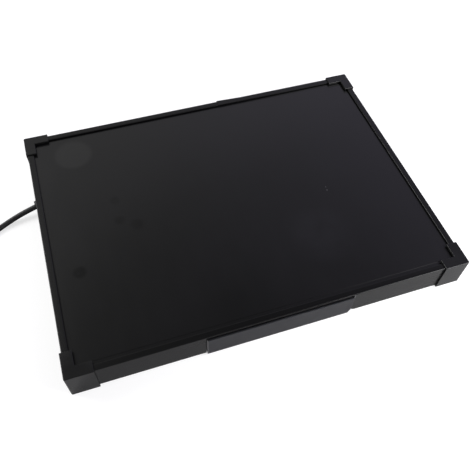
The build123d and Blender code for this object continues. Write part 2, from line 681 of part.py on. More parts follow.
def lead(name, points, radius=LEAD_R):
    """A round insulated wire along the points."""
    with BuildPart() as wire:
        with BuildLine():
            route = FilletPolyline(*points, radius=BEND)
        with BuildSketch(Plane(origin=route @ 0, z_dir=route % 0)):
            Circle(radius)
        sweep()
    finish(wire, name)


CORE_RING = 1.9  # the cores lie this far from the cord's centreline
cores = []
for k, way in enumerate(WAY_Y):
    turn = math.radians(180 + 120 * k)
    y, z = CORD_Y + CORE_RING * math.cos(turn), CORD_Z + CORE_RING * math.sin(turn)
    cores.append(
        [
            (INNER_END_X, y, z),
            (INNER_END_X + 12.0, y, z),
            (BLOCK_X0 - 9.0, way, LEAD_Z),
            (BLOCK_X0, way, LEAD_Z),
        ]
    )
lead("live_core", cores[0])
lead("neutral_core", cores[1])
lead("earth_core", cores[2])

CABLE_MID = FOIL_TOP + CABLE_THICK / 2
tab_y = CUTOUT_Y - CUTOUT_R - TAB_REACH / 2
lead(
    "cutout_lead",
    [
        (BLOCK_X1, WAY_Y[0], LEAD_Z),
        (CUTOUT_X - 11.0, WAY_Y[0], LEAD_Z),
        (CUTOUT_X - 7.0, tab_y, LEAD_Z + 1.5),
        (CUTOUT_X, tab_y, LEAD_Z + 5.0),
        (CUTOUT_X, tab_y, TAB_LOW),
    ],
)
lead(
    "fuse_lead",
    [
        (FUSE_X1, FUSE_Y, FUSE_Z),
        (CUTOUT_X, FUSE_Y, FUSE_Z),
        (CUTOUT_X, CUTOUT_Y + CUTOUT_R + TAB_REACH, TAB_LOW + 0.4),
    ],
    radius=FINE_LEAD_R,
)
lead(
    "element_lead_live",
    [
        (FUSE_X0, FUSE_Y, FUSE_Z),
        (return_x, FUSE_Y - 2.0, FUSE_Z + 1.0),
        (cable_end[0], cable_end[1], CABLE_MID),
    ],
    radius=FINE_LEAD_R,
)
OVER_LID = LID_TOP + 3.0
lead(
    "element_lead_neutral",
    [
        (BLOCK_X1, WAY_Y[1], LEAD_Z),
        (UP_X, WAY_Y[1], LEAD_Z),
        (UP_X, WAY_Y[1], OVER_LID),
        (return_x, CORD_Y - 14.0, OVER_LID),
        (cable_start[0], cable_start[1], CABLE_MID),
    ],
    radius=FINE_LEAD_R,
)

TAG_X, TAG_Y = -126.0, CORD_Y + 28.0
TAG_THICK = 0.8
lead(
    "earth_lead",
    [
        (BLOCK_X1, WAY_Y[2], LEAD_Z),
        (BOX_X1 + 10.0, WAY_Y[2], LEAD_Z),
        (TAG_X, TAG_Y - 12.0, TRAY_FLOOR + LEAD_R + 0.4),
        (TAG_X, TAG_Y - 6.0, TRAY_FLOOR + LEAD_R + 0.4),
    ],
)
with BuildPart() as earth_tag:
    with BuildSketch(Plane.XY.offset(TRAY_FLOOR)):
        with Locations((TAG_X, TAG_Y)):
            Circle(4.0)
        with Locations((TAG_X, TAG_Y - 4.0)):
            Rectangle(4.0, 4.0)
        with Locations((TAG_X, TAG_Y)):
            Circle(PIN_HOLE, mode=Mode.SUBTRACT)
    extrude(amount=TAG_THICK)
    with BuildSketch(Plane.XZ.offset(-TAG_Y + 4.0)):
        with Locations((TAG_X, TRAY_FLOOR + LEAD_R + 0.4)):
            Circle(LEAD_R + 0.4)
    extrude(amount=2.0)
finish(earth_tag, "earth_tag")
finish(down_screws([(TAG_X, TAG_Y)], TRAY_FLOOR + TAG_THICK, TAG_THICK), "earth_screw")

# ---- cord: out of the relief, down to the surface and into a coil ------------------------------------
COIL_X, COIL_Y = -368.0, 90.0
COIL_MID = 40.0  # mean radius of the turns
COIL_PITCH = 7.2
COIL_LOW = 4.3  # centreline of the lower layer, which lies on the tie
COIL_TURNS = 3  # in each layer
COIL_OUT = COIL_MID + COIL_PITCH * COIL_TURNS / 2
COIL_IN = COIL_MID - COIL_PITCH * COIL_TURNS / 2
COIL_ENTRY = 302.4  # degrees round the coil where the cord reaches it
COIL_LEAVE = 340.0  # and where it leaves
CLIMB = 90.0  # degrees of turn in which the cord climbs to the upper layer
STUB = 28.0  # straight length beside the coil, part of the coil's solid
upper_turns = (COIL_ENTRY - CLIMB - COIL_LEAVE + 360 * COIL_TURNS) / 360
LEAVE_R = COIL_IN + COIL_PITCH * upper_turns


def coil_spot(radius, angle):
    """A point in plan at that radius and angle round the coil's middle."""
    return (
        COIL_X + radius * math.cos(math.radians(angle)),
        COIL_Y + radius * math.sin(math.radians(angle)),
    )


def heading(angle):
    """Unit vector of clockwise travel round the coil at an angle."""
    return Vector(math.sin(math.radians(angle)), -math.cos(math.radians(angle)), 0)


entry = Vector(*coil_spot(COIL_OUT, COIL_ENTRY), COIL_LOW)
stub_start = entry - STUB * heading(COIL_ENTRY)
leave = Vector(*coil_spot(LEAVE_R, COIL_LEAVE), COIL_LOW + COIL_PITCH)
stub_end = leave + STUB * heading(COIL_LEAVE)

cord_points = [
    exit_spot,
    Vector(-268.0, 83.9, 8.65),
    Vector(-283.0, 79.8, 5.9),
    Vector(-297.0, 74.2, 3.9),
    Vector(-309.0, 67.4, 3.6),
    stub_start,
]

PLUG_Z = 18.5
PLUG_AWAY = 72.0  # from where the cord leaves the coil to the plug's tail
away = heading(COIL_LEAVE)
up = Vector(0, 0, 1)
plug_tail = leave + PLUG_AWAY * away + (PLUG_Z - leave.Z) * up
tail_points = [
    stub_end,
    leave + 41.5 * away,
    leave + 57.0 * away + (PLUG_Z - 1.7 - leave.Z) * up,
    plug_tail,
]


def bend_radii(points):
    """Each corner's arc takes 0.45 of its shorter run."""
    radii = []
    for before, corner, after in zip(points, points[1:], points[2:]):
        run_in, run_out = corner - before, after - corner
        half_turn = math.radians(run_in.get_angle(run_out)) / 2
        radii.append(0.45 * min(run_in.length, run_out.length) / math.tan(half_turn))
    return radii


def cord_tube(name, points):
    """A round tube along the points; returns its length."""
    radii = bend_radii(points)
    with BuildPart() as tube:
        with BuildLine():
            route = FilletPolyline(*points, radius=radii)
        with BuildSketch(Plane(origin=route @ 0, z_dir=route % 0)):
            Circle(CORD_R)
        sweep()
    length = route.length
    print(name, "radii", [round(r, 1) for r in radii], "length", round(length, 1))
    print("  volume", round(tube.part.volume), "section x length", round(math.pi * CORD_R**2 * length))
    finish(tube, name)
    return length


cord_long = cord_tube("cord", cord_points)
tail_long = cord_tube("cord_tail", tail_points)

with BuildPart() as cord_coil:
    with BuildSketch(Plane.XZ.offset(-COIL_Y)) as coil_section:
        with Locations((COIL_X + COIL_MID, COIL_LOW + COIL_PITCH / 2)):
            RectangleRounded(COIL_OUT - COIL_IN + CORD_D, COIL_PITCH + CORD_D, CORD_R - 0.1)
    revolve(axis=Axis((COIL_X, COIL_Y, 0), (0, 0, 1)))
    with BuildSketch(Plane(origin=stub_start, z_dir=heading(COIL_ENTRY))):
        Circle(CORD_R)
    extrude(amount=STUB)
    with BuildSketch(Plane(origin=stub_end, z_dir=-away)):
        Circle(CORD_R)
    extrude(amount=STUB)
finish(cord_coil, "cord_coil")

lower_long = COIL_TURNS * 2 * math.pi * COIL_MID
climb_long = math.hypot(math.radians(CLIMB) * COIL_IN, COIL_PITCH)
upper_long = upper_turns * 2 * math.pi * (COIL_IN + LEAVE_R) / 2
coil_long = lower_long + climb_long + upper_long + 2 * STUB
print("coil length", round(coil_long), "whole cord", round(cord_long + coil_long + tail_long), "mm")

TIE_THICK = 0.8
TIE_ANGLE = 12.0  # degrees of the coil that the tie covers
TIE_AT = 120.0
tie_plane = Plane(
    origin=(COIL_X, COIL_Y, 0),
    x_dir=(math.cos(math.radians(TIE_AT)), math.sin(math.radians(TIE_AT)), 0),
    z_dir=(math.sin(math.radians(TIE_AT)), -math.cos(math.radians(TIE_AT)), 0),
)
with BuildPart() as cord_tie:
    with BuildSketch(tie_plane):
        with Locations((COIL_MID, COIL_LOW + COIL_PITCH / 2)):
            wide, high = COIL_OUT - COIL_IN + CORD_D, COIL_PITCH + CORD_D
            RectangleRounded(wide + 2 * TIE_THICK, high + 2 * TIE_THICK, CORD_R + TIE_THICK - 0.1)
            RectangleRounded(wide + 0.02, high + 0.02, CORD_R - 0.1, mode=Mode.SUBTRACT)
    revolve(axis=Axis((COIL_X, COIL_Y, 0), (0, 0, 1)), revolution_arc=TIE_ANGLE)
finish(cord_tie, "cord_tie")

# ---- mains plug: two round pins and side earth contacts ----------------------------------------------
PLUG_LONG = 58.0  # tail to face
PLUG_R = 18.3
PLUG_WAIST = 12.0
PLUG_BOOT = 24.0  # length of the ribbed boot on its tail
PIN_R = 2.4
PIN_LONG = 19.0
PIN_SPREAD = 9.5  # each pin from the axis
EARTH_WIDE = 7.0
side = Vector(0, 0, 1).cross(away)
plug_axis = Axis(plug_tail, away)
with BuildPart() as plug_body:
    with BuildSketch(Plane(origin=plug_tail, x_dir=away, z_dir=-side)) as plug_half:
        with BuildLine():
            Polyline(
                (0, 0),
                (0, CORD_R + 0.8),
                (PLUG_BOOT, 6.6),
                (PLUG_BOOT, PLUG_WAIST),
                (PLUG_LONG - 16.0, PLUG_WAIST + 2.5),
                (PLUG_LONG - 11.0, PLUG_R),
                (PLUG_LONG, PLUG_R),
                (PLUG_LONG, 0),
                close=True,
            )
        make_face()
        fillet(plug_half.vertices().sort_by(Axis.X)[2:6], 1.2)
    revolve(axis=plug_axis)
    for turn in (-1, 1):
        with BuildSketch(Plane(origin=plug_tail + away * PLUG_LONG, x_dir=side, z_dir=away)):
            with Locations((0, turn * PLUG_R)):
                Rectangle(EARTH_WIDE, 3.0)
        extrude(amount=-14.0, mode=Mode.SUBTRACT)
    with BuildSketch(Plane(origin=plug_tail + away * PLUG_LONG, x_dir=side, z_dir=away)):
        with Locations((-PIN_SPREAD, 0), (PIN_SPREAD, 0)):
            Circle(PIN_R)
    extrude(amount=-8.0, mode=Mode.SUBTRACT)
finish(plug_body, "plug_body")

with BuildPart() as plug_pins:
    with BuildSketch(Plane(origin=plug_tail + away * (PLUG_LONG - 8.0), x_dir=side, z_dir=away)):
        with Locations((-PIN_SPREAD, 0), (PIN_SPREAD, 0)):
            Circle(PIN_R)
    extrude(amount=PIN_LONG + 8.0)
    fillet(plug_pins.faces().filter_by(lambda f: f.normal_at().dot(away) > 0.99).edges(), 1.6)
finish(plug_pins, "plug_pins")

with BuildPart() as plug_earth_clips:
    with BuildSketch(Plane(origin=plug_tail + away * PLUG_LONG, x_dir=side, z_dir=away)):
        with Locations((0, PLUG_R - 1.1), (0, -PLUG_R + 1.1)):
            Rectangle(EARTH_WIDE - 1.0, 0.8)
    extrude(amount=-14.0)
finish(plug_earth_clips, "plug_earth_clips")
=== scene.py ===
"""Looks of the seedling heat mat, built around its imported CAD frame. Lengths are in metres."""

import json
import math

import bmesh
import bpy
from mathutils import Matrix, Vector


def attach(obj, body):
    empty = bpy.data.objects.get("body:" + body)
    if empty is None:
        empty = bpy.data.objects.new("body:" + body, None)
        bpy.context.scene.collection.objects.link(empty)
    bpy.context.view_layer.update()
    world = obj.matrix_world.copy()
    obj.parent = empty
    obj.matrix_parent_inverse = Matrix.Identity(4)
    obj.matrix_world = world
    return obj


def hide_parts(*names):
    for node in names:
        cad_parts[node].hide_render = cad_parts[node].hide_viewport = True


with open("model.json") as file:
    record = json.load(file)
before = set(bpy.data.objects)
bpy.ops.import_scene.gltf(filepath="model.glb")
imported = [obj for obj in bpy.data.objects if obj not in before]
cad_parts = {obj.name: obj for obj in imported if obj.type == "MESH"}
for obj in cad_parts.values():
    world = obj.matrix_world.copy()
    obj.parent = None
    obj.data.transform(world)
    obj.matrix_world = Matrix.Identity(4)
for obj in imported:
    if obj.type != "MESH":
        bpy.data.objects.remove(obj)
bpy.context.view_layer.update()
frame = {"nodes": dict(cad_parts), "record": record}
nodes = frame["nodes"]

# ---- camera --------------------------------------------------------------------------------------
AIM = Vector((-0.0049, -0.0313, 0.0))  # where the view's middle meets the floor
DISTANCE = 0.7705
AZIMUTH, ELEVATION, ROLL = 20.637, 54.957, 2.821  # degrees
LENS, SENSOR = 43.386, 36.0


def add_camera():
    azimuth, elevation, roll = (math.radians(a) for a in (AZIMUTH, ELEVATION, ROLL))
    ahead = Vector(
        (
            math.sin(azimuth) * math.cos(elevation),
            math.cos(azimuth) * math.cos(elevation),
            -math.sin(elevation),
        )
    )
    level = Vector((math.cos(azimuth), -math.sin(azimuth), 0.0))
    upright = level.cross(ahead)
    right = level * math.cos(roll) + upright * math.sin(roll)
    up = upright * math.cos(roll) - level * math.sin(roll)
    camera = bpy.data.objects.new("camera", bpy.data.cameras.new("camera"))
    camera.data.lens, camera.data.sensor_width = LENS, SENSOR
    camera.data.clip_start, camera.data.clip_end = 0.01, 20.0
    turn = Matrix((right, up, -ahead)).transposed()
    camera.matrix_world = Matrix.LocRotScale(AIM - ahead * DISTANCE, turn, None)
    bpy.context.scene.collection.objects.link(camera)
    bpy.context.scene.camera = camera


add_camera()
bpy.context.scene.view_settings.view_transform = "Standard"

# ---- cord ----------------------------------------------------------------------------------------
CORD_D = 0.007
EXIT = Vector((-0.25284, 0.08648, 0.01157))
COIL_MIDDLE = Vector((-0.368, 0.090, 0.0))
COIL_MEAN = 0.040
PITCH = 0.0072  # from one turn to the next, and from layer to layer
LOW = 0.0043  # centreline of the lower layer
LAYER_TURNS = 3
ENTRY, LEAVE, CLIMB = 302.4, 340.0, 90.0  # degrees round the coil
STUB = 0.028
OUTER = COIL_MEAN + PITCH * LAYER_TURNS / 2
INNER = COIL_MEAN - PITCH * LAYER_TURNS / 2
UPPER_TURNS = (ENTRY - CLIMB - LEAVE + 360 * LAYER_TURNS) / 360
LEAVE_R = INNER + PITCH * UPPER_TURNS
PER_TURN = 16  # control points in each turn
PLUG_Z = 0.0185
PLUG_AWAY = 0.072  # from where the cord leaves the coil to the plug's tail
RISE_START, RISE_END = 0.0415, 0.057  # where the cord starts to rise to the plug, and nearly ends
PLUG_DIP = 0.0017  # the cord's last bend lies this far below the plug's axis
# The control points after the exit, where the cord comes down to the floor.
DESCENT = (
    (-0.268, 0.0839, 0.00865),
    (-0.283, 0.0798, 0.0059),
    (-0.297, 0.0742, 0.0039),
    (-0.309, 0.0674, 0.0036),
)


def round_coil(radius, angle, z):
    """A point at that radius and angle (degrees) round the coil's middle."""
    a = math.radians(angle)
    return COIL_MIDDLE + Vector((radius * math.cos(a), radius * math.sin(a), z))


def heading(angle):
    """Unit vector of clockwise travel round the coil."""
    a = math.radians(angle)
    return Vector((math.sin(a), -math.cos(a), 0.0))


def winding(start, degrees, radii, heights):
    """Control points of a clockwise stretch of the coil, each turn's polygon outside its circle."""
    count = round(PER_TURN * degrees / 360)
    step = degrees / count
    grow = 1 / math.cos(math.radians(step / 2))
    found = []
    for k in range(count):
        t = (k + 0.5) / count
        radius = radii[0] + (radii[1] - radii[0]) * t
        z = heights[0] + (heights[1] - heights[0]) * t
        found.append(round_coil(radius * grow, start - t * degrees, z))
    return found


def cord_points():
    """The control points from the strain relief, through the coil, to the plug."""
    entry = round_coil(OUTER, ENTRY, LOW)
    high = LOW + PITCH
    leave = round_coil(LEAVE_R, LEAVE, high)
    away = heading(LEAVE)
    lower = 360.0 * LAYER_TURNS
    upper = 360.0 * UPPER_TURNS
    top = Vector((0, 0, PLUG_Z - high))
    return [
        EXIT,
        *(Vector(point) for point in DESCENT),
        entry - STUB * heading(ENTRY),
        entry - STUB / 2 * heading(ENTRY),
        *winding(ENTRY, lower, (OUTER, INNER), (LOW, LOW)),
        *winding(ENTRY - lower, CLIMB, (INNER, INNER), (LOW, high)),
        *winding(ENTRY - lower - CLIMB, upper, (INNER, LEAVE_R), (high, high)),
        leave + STUB / 2 * away,
        leave + STUB * away,
        leave + RISE_START * away,
        leave + RISE_END * away + top - Vector((0, 0, PLUG_DIP)),
        leave + PLUG_AWAY * away + top,
    ]


def smooth_curve(name, points, radius):
    data = bpy.data.curves.new(name, "CURVE")
    data.dimensions = "3D"
    line = data.splines.new("NURBS")
    line.points.add(len(points) - 1)
    for knot, point in zip(line.points, points):
        knot.co = (*point, 1.0)
        knot.radius = radius  # so that the curve's box is the tube's own
    line.order_u = 3
    line.use_endpoint_u = True
    line.resolution_u = 8
    data.bevel_depth = 1.0
    data.bevel_resolution = 6
    data.use_fill_caps = True
    made = bpy.data.objects.new(name, data)
    bpy.context.scene.collection.objects.link(made)
    return made


cord = smooth_curve("mains_lead", cord_points(), CORD_D / 2)
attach(cord, "root")
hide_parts("cord", "cord_coil", "cord_tail")


# ---- tie round the coil --------------------------------------------------------------------------
TIE_AT, TIE_SPAN = 114.0, 12.0  # degrees round the coil: the strap's middle and its width
TIE_THICK = 0.0008
TIE_CLEAR = 0.00004  # between the strap and the cord
TIE_HEM = 0.00012  # how much thinner the strap is along its edges
TIE_BULGE = 0.00018  # how much thicker it is along its middle
TIE_ROUND, TIE_ACROSS = 96, 9  # steps round the bundle and across the strap
TAB_OUT = 1.9  # the loose end's face, in strap thicknesses outside the bundle
TAB_THICK = 0.85  # its thickness, as a share of the strap's
TAB_NARROW = 0.84  # its width, as a share of the strap's
TAB_TAPER, TAB_TAPER_ROWS = 0.35, 3  # how much its tip narrows, and over how many rows
TAB_SKIP = 4  # rows of the bundle's top left bare before the tip
# The turns draw in and out again round the coil, so the bundle under the tie is narrower than
# the coil.
BUNDLE_OUT = OUTER - PITCH * (ENTRY - TIE_AT) / 360 + CORD_D / 2
BUNDLE_IN = INNER + PITCH * (ENTRY - CLIMB - TIE_AT) / 360 - CORD_D / 2
BUNDLE_MEAN = (BUNDLE_OUT + BUNDLE_IN) / 2
TIE_HALF_W = (BUNDLE_OUT - BUNDLE_IN) / 2 + PITCH * TIE_SPAN / 720
TIE_HALF_H = (PITCH + CORD_D) / 2
TIE_MID_Z = LOW + PITCH / 2


def bundle_outline(grow):
    """A rounded box round the coil's bundle, grow outside it: (out from its middle, up)."""
    corner = CORD_D / 2 + grow
    half_w, half_h = TIE_HALF_W + grow, TIE_HALF_H + grow
    found = []
    for k in range(TIE_ROUND):
        a = 2 * math.pi * k / TIE_ROUND
        c, z = math.cos(a), math.sin(a)
        found.append(
            (
                math.copysign(half_w - corner, c) + corner * c,
                math.copysign(half_h - corner, z) + corner * z,
            )
        )
    return found


def add_quad(mesh, corners, flip):
    mesh.faces.new(corners[::-1] if flip else corners)


def join_rims(mesh, first, second, flip):
    """Faces between two closed rims of as many points."""
    for j in range(len(first)):
        n = (j + 1) % len(first)
        add_quad(mesh, [first[j], first[n], second[n], second[j]], flip)


def add_strap(mesh):
    """The strap, wound once round the bundle, with thinner edges and a thicker middle."""
    rows = []
    for k in range(TIE_ACROSS + 1):
        v = k / TIE_ACROSS
        angle = TIE_AT + (v - 0.5) * TIE_SPAN
        hem = TIE_HEM if k in (0, TIE_ACROSS) else 0.0
        bulge = TIE_BULGE * math.sin(math.pi * v)
        pair = []
        for grow in (TIE_THICK + bulge - hem, TIE_CLEAR):
            rim = []
            for out, up in bundle_outline(grow):
                rim.append(mesh.verts.new(round_coil(BUNDLE_MEAN + out, angle, TIE_MID_Z + up)))
            pair.append(rim)
        rows.append(pair)
    for side, flip in ((0, False), (1, True)):
        for a, b in zip(rows, rows[1:]):
            join_rims(mesh, a[side], b[side], flip)
    for (outer, inner), flip in ((rows[0], True), (rows[-1], False)):
        join_rims(mesh, outer, inner, flip)


def add_tab(mesh):
    """The strap's loose end, lying over the top of the bundle."""
    outline = bundle_outline(TIE_THICK * TAB_OUT)
    over = sorted(p for p in outline if p[1] > 0 and abs(p[0]) < TIE_HALF_W)[TAB_SKIP:]
    rows = []
    for i, (out, up) in enumerate(over):
        width = TAB_NARROW * (1 - TAB_TAPER * max(0.0, 1 - i / TAB_TAPER_ROWS))
        low = max(up - TIE_THICK * TAB_THICK, 0)
        row = []
        for k in range(TIE_ACROSS + 1):
            angle = TIE_AT + (k / TIE_ACROSS - 0.5) * width * TIE_SPAN
            pair = []
            for z in (up, low):
                pair.append(mesh.verts.new(round_coil(BUNDLE_MEAN + out, angle, TIE_MID_Z + z)))
            row.append(pair)
        rows.append(row)
    for a, b in zip(rows, rows[1:]):
        for k in range(TIE_ACROSS):
            for level in (0, 1):
                quad = [a[k][level], a[k + 1][level], b[k + 1][level], b[k][level]]
                add_quad(mesh, quad, level == 1)
        for k in (0, TIE_ACROSS):
            add_quad(mesh, [a[k][0], b[k][0], b[k][1], a[k][1]], k == 0)
    for row, flip in ((rows[0], True), (rows[-1], False)):
        for k in range(TIE_ACROSS):
            add_quad(mesh, [row[k][0], row[k][1], row[k + 1][1], row[k + 1][0]], flip)


def add_tie():
    """Hook-and-loop tape, wound once round the bundle, its loose end over the top."""
    mesh = bmesh.new()
    add_strap(mesh)
    add_tab(mesh)
    bmesh.ops.recalc_face_normals(mesh, faces=mesh.faces)
    data = bpy.data.meshes.new("coil_tie")
    mesh.to_mesh(data)
    data.polygons.foreach_set("use_smooth", [True] * len(data.polygons))
    tie = bpy.data.objects.new("coil_tie", data)
    bpy.context.scene.collection.objects.link(tie)
    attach(tie, "root")
    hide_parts("cord_tie")
    return tie


tie = add_tie()


# ---- materials -----------------------------------------------------------------------------------
def colour_sockets(sockets):
    return [socket for socket in sockets if socket.type == "RGBA"]


class Surface:
    """A procedural material in the making, with its textures in object space."""

    def __init__(self, name, roughness=0.5, metallic=0.0, ior=1.45, **sockets):
        self.material = bpy.data.materials.new(name)
        self.material.use_nodes = True
        self.tree = self.material.node_tree
        self.shader = self.tree.nodes["Principled BSDF"]
        values = {"Roughness": roughness, "Metallic": metallic, "IOR": ior, **sockets}
        for socket, value in values.items():
            self.shader.inputs[socket].default_value = value
        self.place = self.add("ShaderNodeTexCoord").outputs["Object"]

    def add(self, kind, **settings):
        node = self.tree.nodes.new(kind)
        for key, value in settings.items():
            setattr(node, key, value)
        return node

    def link(self, source, target):
        self.tree.links.new(source, target)

    def stretched(self, stretch, turn=(0, 0, 0)):
        mapping = self.add("ShaderNodeMapping")
        mapping.inputs["Scale"].default_value = stretch
        mapping.inputs["Rotation"].default_value = [math.radians(a) for a in turn]
        self.link(self.place, mapping.inputs["Vector"])
        return mapping.outputs["Vector"]

    def noise(self, size, detail=3.0, stretch=(1, 1, 1)):
        """Noise whose blotches are about size across, from 0 to 1."""
        node = self.add("ShaderNodeTexNoise")
        node.inputs["Scale"].default_value = 1 / size
        node.inputs["Detail"].default_value = detail
        self.link(self.stretched(stretch), node.inputs["Vector"])
        return node.outputs["Fac"]

    def spread(self, source, low, high, start=0.3, end=0.7, **settings):
        """Source's range start to end carried to low to high."""
        node = self.add("ShaderNodeMapRange", **settings)
        ends = {"From Min": start, "From Max": end, "To Min": low, "To Max": high}
        for socket, value in ends.items():
            node.inputs[socket].default_value = value
        self.link(source, node.inputs["Value"])
        return node.outputs["Result"]

    def combined(self, first, second, operation="ADD"):
        """Two sockets or numbers put together by a Math node."""
        node = self.add("ShaderNodeMath", operation=operation)
        for source, socket in zip((first, second), node.inputs):
            if isinstance(source, (int, float)):
                socket.default_value = source
            else:
                self.link(source, socket)
        return node.outputs[0]

    def times(self, first, second):
        return self.combined(first, second, "MULTIPLY")

    def along(self, axis, start, end):
        """0 before start, rising to 1 at end, along an axis."""
        split = self.add("ShaderNodeSeparateXYZ")
        self.link(self.place, split.inputs[0])
        return self.spread(split.outputs[axis], 0, 1, start, end)

    def near(self, middle, radius, soft):
        """1 within radius of a point in plan, falling to 0 over soft."""
        apart = self.add("ShaderNodeVectorMath", operation="DISTANCE")
        flat = self.stretched((1, 1, 0))
        self.link(flat, apart.inputs[0])
        apart.inputs[1].default_value = (middle[0], middle[1], 0)
        distance = apart.outputs["Value"]
        return self.spread(distance, 1, 0, radius, radius + soft, interpolation_type="SMOOTHSTEP")

    def blend(self, factor, dark, light):
        """Two colours (or sockets) mixed by a factor from 0 to 1."""
        node = self.add("ShaderNodeMix", data_type="RGBA")
        self.link(factor, node.inputs["Factor"])
        for socket, colour in zip(colour_sockets(node.inputs), (dark, light)):
            if isinstance(colour, bpy.types.NodeSocket):
                self.link(colour, socket)
            else:
                socket.default_value = (*colour, 1.0)
        return colour_sockets(node.outputs)[0]

    def marked(self, base, where, strength, colour):
        """Base (a socket) carried to another colour by strength, where a factor is 1."""
        return self.blend(self.times(where, strength), base, colour)

    def colour(self, source):
        self.link(source, self.shader.inputs["Base Color"])
        return self

    def roughness(self, source):
        self.link(source, self.shader.inputs["Roughness"])
        return self

    def relief(self, height, depth):
        """A bump of that real depth."""
        node = self.add("ShaderNodeBump")
        node.inputs["Strength"].default_value = 1.0
        node.inputs["Distance"].default_value = depth
        self.link(height, node.inputs["Height"])
        self.link(node.outputs["Normal"], self.shader.inputs["Normal"])
        return self


LARGE_SHARE, FINE_SHARE = 0.6, 0.4  # of blotches (or weave) and of grain (or pile) in the tone


def tone(colour, factor):
    return tuple(min(1.0, c * factor) for c in colour)


def worked(name, colour, roughness, metallic=0.0, ior=1.45, uneven=0.12, blotch=0.03,
           grain=0.001, depth=0.00002, stretch=(1, 1, 1), spread=0.05, **sockets):
    """A surface with uneven tone, uneven gloss and a grain, along one direction if stretched."""
    s = Surface(name, roughness, metallic, ior, **sockets)
    large = s.noise(blotch, 3, stretch)
    fine = s.noise(grain, 2, stretch)
    both = s.combined(s.times(large, LARGE_SHARE), s.times(fine, FINE_SHARE))
    factor = s.spread(both, 0, 1)
    s.colour(s.blend(factor, tone(colour, 1 - uneven), tone(colour, 1 + uneven)))
    s.roughness(s.spread(large, roughness - spread, roughness + spread))
    s.relief(fine, depth)
    return s


# Faint marks on the heated face: middle, radius and how soft the edge is.
POT_MARK = ((-0.188, 0.140), 0.021, 0.008)
CLOUD = ((0.090, -0.085), 0.010, 0.045)
SPECKS = (((0.1282, -0.0234), 0.0005, 0.0006), ((0.1287, -0.0178), 0.0003, 0.0005))
SMUDGES = (
    ((-0.149, 0.009), 0.003, 0.006),
    ((-0.129, -0.004), 0.004, 0.007),
    ((-0.149, 0.043), 0.003, 0.005),
    ((-0.211, -0.054), 0.004, 0.007),
)
# How strongly each kind of mark shows, and its colour.
POT_TONE = (0.75, (0.010, 0.010, 0.010))
CLOUD_TONE = (0.50, (0.009, 0.009, 0.011))
SMUDGE_TONE = (0.8, (0.0008, 0.0008, 0.001))
SPECK_TONE = (0.8, (0.06, 0.06, 0.065))
SMUDGE_GLOSS = -0.16  # added to the roughness: a smudge is smoother than the coating round it
HAZE_DARK, HAZE_LIGHT = (0.0026, 0.0026, 0.0027), (0.0036, 0.0035, 0.0040)
HAZE_GLOSS = (0.20, 0.24)  # roughness
WIPED_GLOSS = (-0.012, 0.012)  # added to it in streaks


def panel_surface():
    """Satin black coating with a little haze, a round mark, a pale cloud, specks and smudges."""
    s = Surface("panel_coating", 0.22, 0.0, 1.44)
    haze = s.noise(0.16, 2)
    peel = s.noise(0.0016, 2)
    wiped = s.noise(0.02, 4, (1, 0.35, 1))
    pot = s.near(*POT_MARK)
    smudge = s.near(*SMUDGES[0])
    for spot in SMUDGES[1:]:
        smudge = s.combined(smudge, s.near(*spot), "MAXIMUM")
    smudge = s.times(smudge, s.spread(s.noise(0.006, 3), 0.3, 1.0))
    cloud = s.times(s.near(*CLOUD), s.spread(s.noise(0.03, 3), 0.2, 1.0))
    speck = s.combined(s.near(*SPECKS[0]), s.near(*SPECKS[1]), "MAXIMUM")
    base = s.blend(s.spread(haze, 0, 1), HAZE_DARK, HAZE_LIGHT)
    for where, look in (
        (pot, POT_TONE), (cloud, CLOUD_TONE), (smudge, SMUDGE_TONE), (speck, SPECK_TONE)
    ):
        base = s.marked(base, where, *look)
    s.colour(base)
    gloss = s.combined(s.spread(haze, *HAZE_GLOSS), s.spread(wiped, *WIPED_GLOSS))
    s.roughness(s.combined(gloss, s.times(smudge, SMUDGE_GLOSS)))
    s.relief(peel, 0.000004)
    return s.material


def rail_surface(name, stretch):
    return worked(name, (0.0026, 0.0026, 0.0027), 0.25, ior=1.34, uneven=0.22, blotch=0.012,
                  grain=0.0009, depth=0.00001, stretch=stretch, spread=0.04)


HIGHLIGHT_EDGE = 0.0004  # how soft a painted end highlight's outline is
# A painted highlight on a cut end, standing in for light on its rounded edge (the strip's end is
# also partly bare metal): from and to along X, up to, and its paler colour.
STRIP_END_HIGHLIGHT = (-0.0910, -0.0894, 0.0366, (0.26, 0.26, 0.27))
RAIL_END_HIGHLIGHT = (0.0944, 0.0956, 0.0400, (0.13, 0.13, 0.132))


def with_painted_highlight(s, start, end, top, colour):
    """Paints a highlight on an end: carries the surface to a paler, patchy colour from start to end
    along X, up to top.
    """
    after_start = s.along("X", start - HIGHLIGHT_EDGE, start)
    after_end = s.along("X", end, end + HIGHLIGHT_EDGE)
    inside = s.combined(after_start, after_end, "SUBTRACT")
    below = s.times(inside, s.along("Z", top + HIGHLIGHT_EDGE, top))
    patchy = s.times(below, s.spread(s.noise(0.004, 2), 0.6, 1.0))
    plain = s.shader.inputs["Base Color"].links[0].from_socket
    s.colour(s.blend(patchy, plain, colour))
    return s


STRIPE_FROM, STRIPE_TO = 0.55, 0.62  # the part of a wave where the stripe's edge lies
WEAVE_SCALE = 6.28  # the wave texture's scale is one over this many thread pitches
THREAD_TURN = (35, 25, 30)  # degrees, so that the threads cross every face


def striped(name, colour, stripe, stretch, width):
    """Wire insulation with a stripe that runs along it."""
    s = Surface(name, 0.42)
    wave = s.add("ShaderNodeTexWave", wave_type="BANDS", bands_direction="DIAGONAL")
    wave.inputs["Scale"].default_value = 1 / width
    s.link(s.stretched(stretch), wave.inputs["Vector"])
    s.colour(s.blend(s.spread(wave.outputs["Fac"], 0, 1, STRIPE_FROM, STRIPE_TO), colour, stripe))
    s.relief(s.noise(0.0008), 0.00001)
    return s.material


